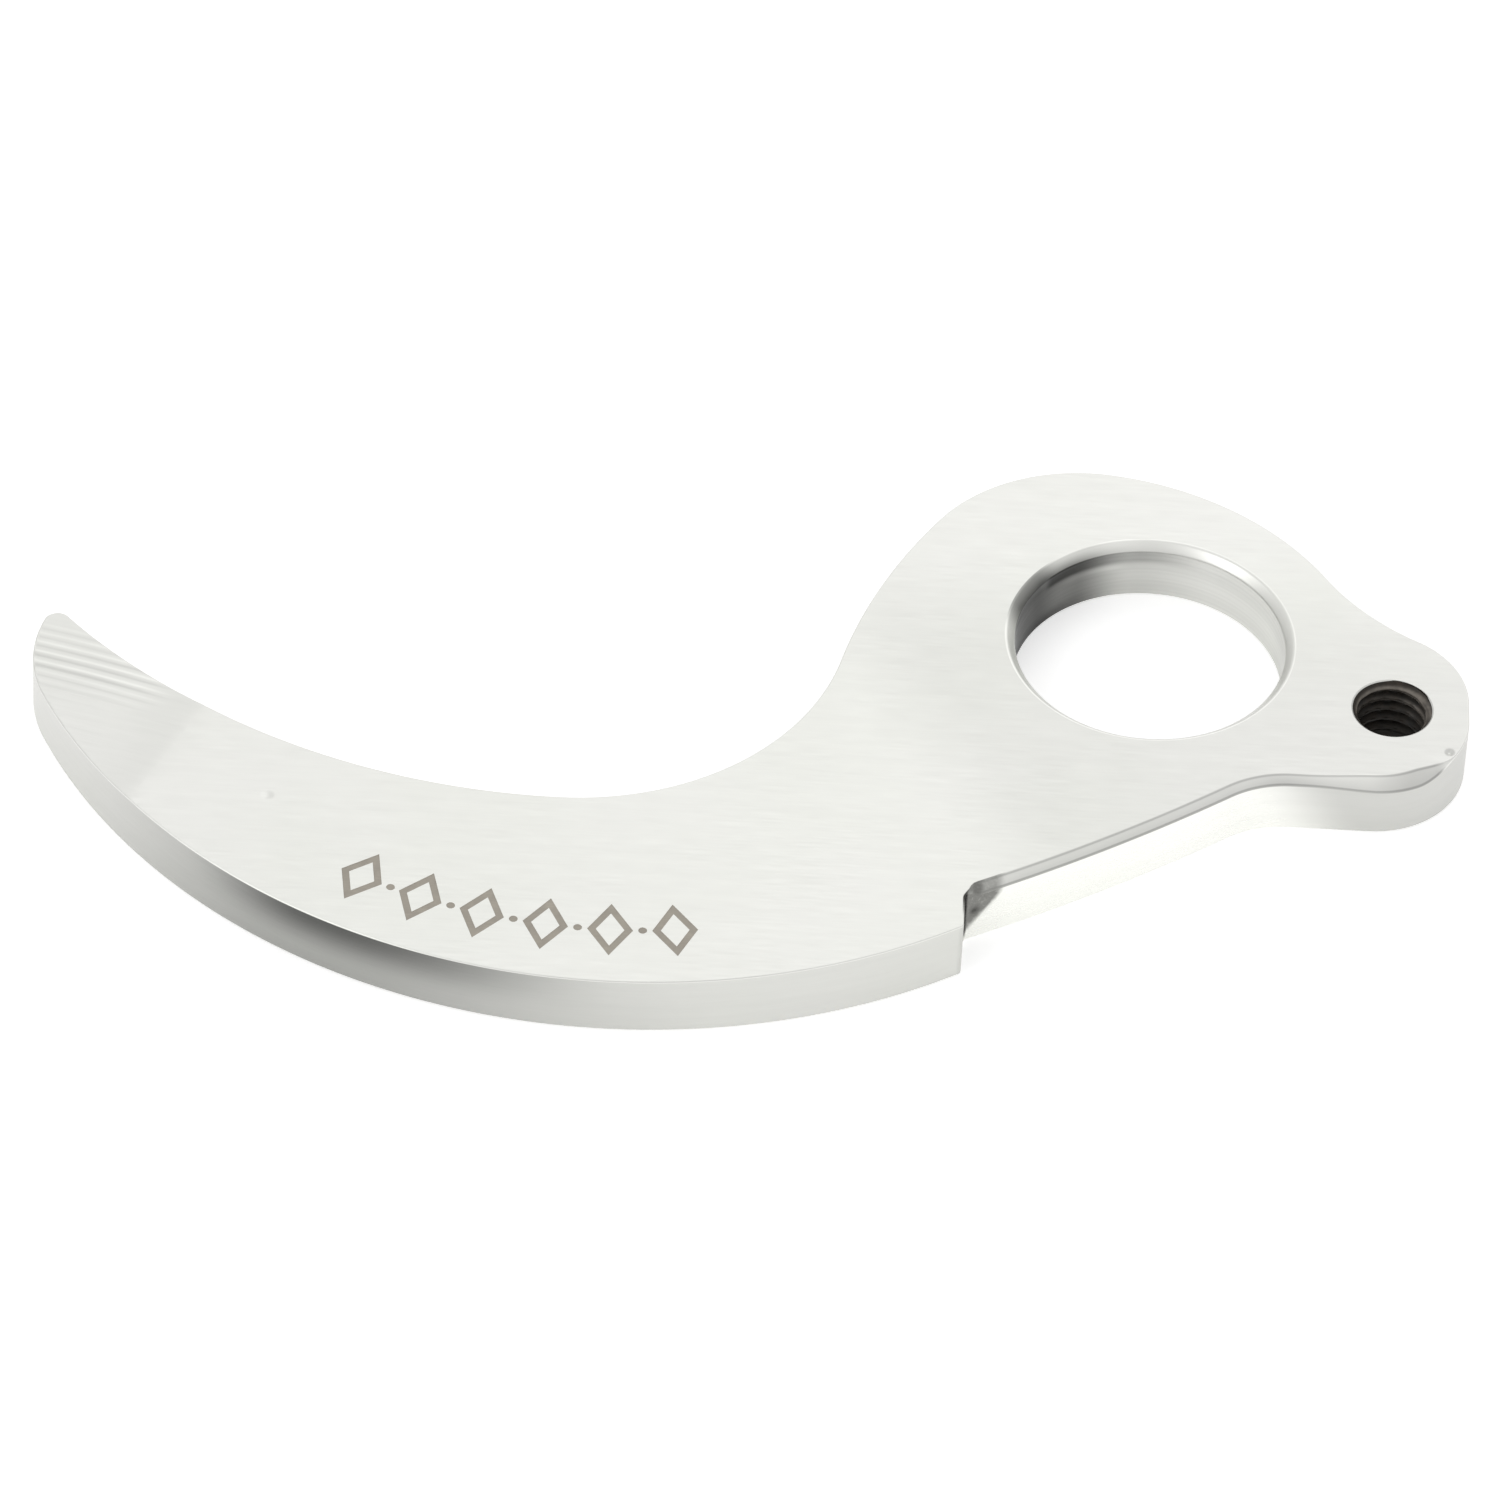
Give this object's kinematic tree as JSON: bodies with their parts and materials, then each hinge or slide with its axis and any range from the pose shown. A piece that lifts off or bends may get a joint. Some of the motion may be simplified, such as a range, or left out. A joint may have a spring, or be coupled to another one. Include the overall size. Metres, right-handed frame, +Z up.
{
  "type": "shear hook blade",
  "caption": "Flat one-piece steel hook blade for bypass shears, with a long concave edge, a chamfered pivot bore, a heel stop and a rear lug with a tapped hole for the fixing screw.",
  "frame": {"origin": "on the pivot bore's axis, in the plane of the underside", "axes": "+Z up along the pivot bore's axis, out of the marked face; -X towards the point of the hook; +Y from the hook's back towards its open side"},
  "size_m": [0.1055, 0.056, 0.005],
  "materials": {
    "ground_steel": "satin, finely ground"
  },
  "bodies": {
    "root": {"hook": "ground_steel"}
  },
  "joints": []
}
